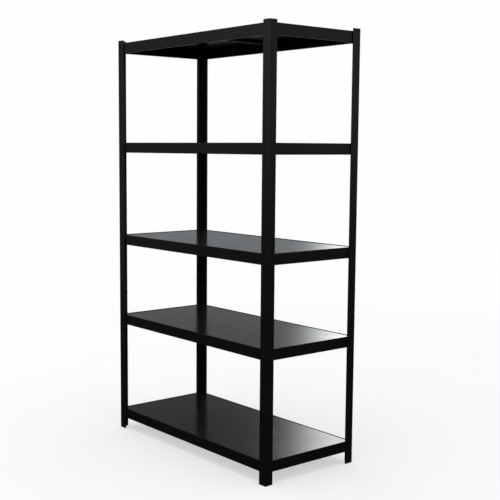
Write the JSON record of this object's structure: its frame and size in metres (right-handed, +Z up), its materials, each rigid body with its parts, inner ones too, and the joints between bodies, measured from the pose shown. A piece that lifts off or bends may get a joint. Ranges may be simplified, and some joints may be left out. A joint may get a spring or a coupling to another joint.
{
  "type": "boltless shelving unit",
  "caption": "Free-standing black steel rack of flat lift-out decks in shallow beam frames that hook onto folded angle posts without bolts",
  "frame": {"origin": "on the floor, at the centre of the rectangle that encloses the four feet", "axes": "+X along the long side (width), +Y from the front to the back (depth), +Z up"},
  "size_m": [1.05, 0.488, 1.807],
  "materials": {
    "post_paint": "satin black powder coat",
    "beam_paint": "satin black powder coat",
    "deck_paint": "smooth semi-gloss black powder coat",
    "rivet_paint": "satin black, with worn crowns",
    "bar_paint": "satin black powder coat",
    "black_plastic": "moulded black plastic with a fine texture"
  },
  "bodies": {
    "uprights": {"post_front_left": "post_paint", "post_cap_front_left": "black_plastic", "foot_front_left": "black_plastic", "post_front_right": "post_paint", "post_cap_front_right": "black_plastic", "foot_front_right": "black_plastic", "post_rear_right": "post_paint", "post_cap_rear_right": "black_plastic", "foot_rear_right": "black_plastic", "post_rear_left": "post_paint", "post_cap_rear_left": "black_plastic", "foot_rear_left": "black_plastic"},
    "tier1_frame": {"tier1_beam_front": "beam_paint", "tier1_beam_right": "beam_paint", "tier1_beam_rear": "beam_paint", "tier1_beam_left": "beam_paint", "tier1_rivets": "rivet_paint", "tier1_support_bar": "bar_paint"},
    "tier1_deck_panel": {"tier1_deck": "deck_paint"},
    "tier2_frame": {"tier2_beam_front": "beam_paint", "tier2_beam_right": "beam_paint", "tier2_beam_rear": "beam_paint", "tier2_beam_left": "beam_paint", "tier2_rivets": "rivet_paint", "tier2_support_bar": "bar_paint"},
    "tier2_deck_panel": {"tier2_deck": "deck_paint"},
    "tier3_frame": {"tier3_beam_front": "beam_paint", "tier3_beam_right": "beam_paint", "tier3_beam_rear": "beam_paint", "tier3_beam_left": "beam_paint", "tier3_rivets": "rivet_paint", "tier3_support_bar": "bar_paint"},
    "tier3_deck_panel": {"tier3_deck": "deck_paint"},
    "tier4_frame": {"tier4_beam_front": "beam_paint", "tier4_beam_right": "beam_paint", "tier4_beam_rear": "beam_paint", "tier4_beam_left": "beam_paint", "tier4_rivets": "rivet_paint", "tier4_support_bar": "bar_paint"},
    "tier4_deck_panel": {"tier4_deck": "deck_paint"},
    "tier5_frame": {"tier5_beam_front": "beam_paint", "tier5_beam_right": "beam_paint", "tier5_beam_rear": "beam_paint", "tier5_beam_left": "beam_paint", "tier5_rivets": "rivet_paint", "tier5_support_bar": "bar_paint"},
    "tier5_deck_panel": {"tier5_deck": "deck_paint"}
  },
  "joints": [
    {"name": "tier1_unlock", "type": "slide", "parent": "uprights", "child": "tier1_frame", "axis": [0, 0, 1], "range_m": [0, 0.009]},
    {"name": "tier1_deck_lift", "type": "slide", "parent": "tier1_frame", "child": "tier1_deck_panel", "axis": [0, 0, 1], "range_m": [0, 0.15]},
    {"name": "tier2_unlock", "type": "slide", "parent": "uprights", "child": "tier2_frame", "axis": [0, 0, 1], "range_m": [0, 0.009]},
    {"name": "tier2_deck_lift", "type": "slide", "parent": "tier2_frame", "child": "tier2_deck_panel", "axis": [0, 0, 1], "range_m": [0, 0.15]},
    {"name": "tier3_unlock", "type": "slide", "parent": "uprights", "child": "tier3_frame", "axis": [0, 0, 1], "range_m": [0, 0.009]},
    {"name": "tier3_deck_lift", "type": "slide", "parent": "tier3_frame", "child": "tier3_deck_panel", "axis": [0, 0, 1], "range_m": [0, 0.15]},
    {"name": "tier4_unlock", "type": "slide", "parent": "uprights", "child": "tier4_frame", "axis": [0, 0, 1], "range_m": [0, 0.009]},
    {"name": "tier4_deck_lift", "type": "slide", "parent": "tier4_frame", "child": "tier4_deck_panel", "axis": [0, 0, 1], "range_m": [0, 0.15]},
    {"name": "tier5_unlock", "type": "slide", "parent": "uprights", "child": "tier5_frame", "axis": [0, 0, 1], "range_m": [0, 0.009]},
    {"name": "tier5_deck_lift", "type": "slide", "parent": "tier5_frame", "child": "tier5_deck_panel", "axis": [0, 0, 1], "range_m": [0, 0.15]}
  ]
}
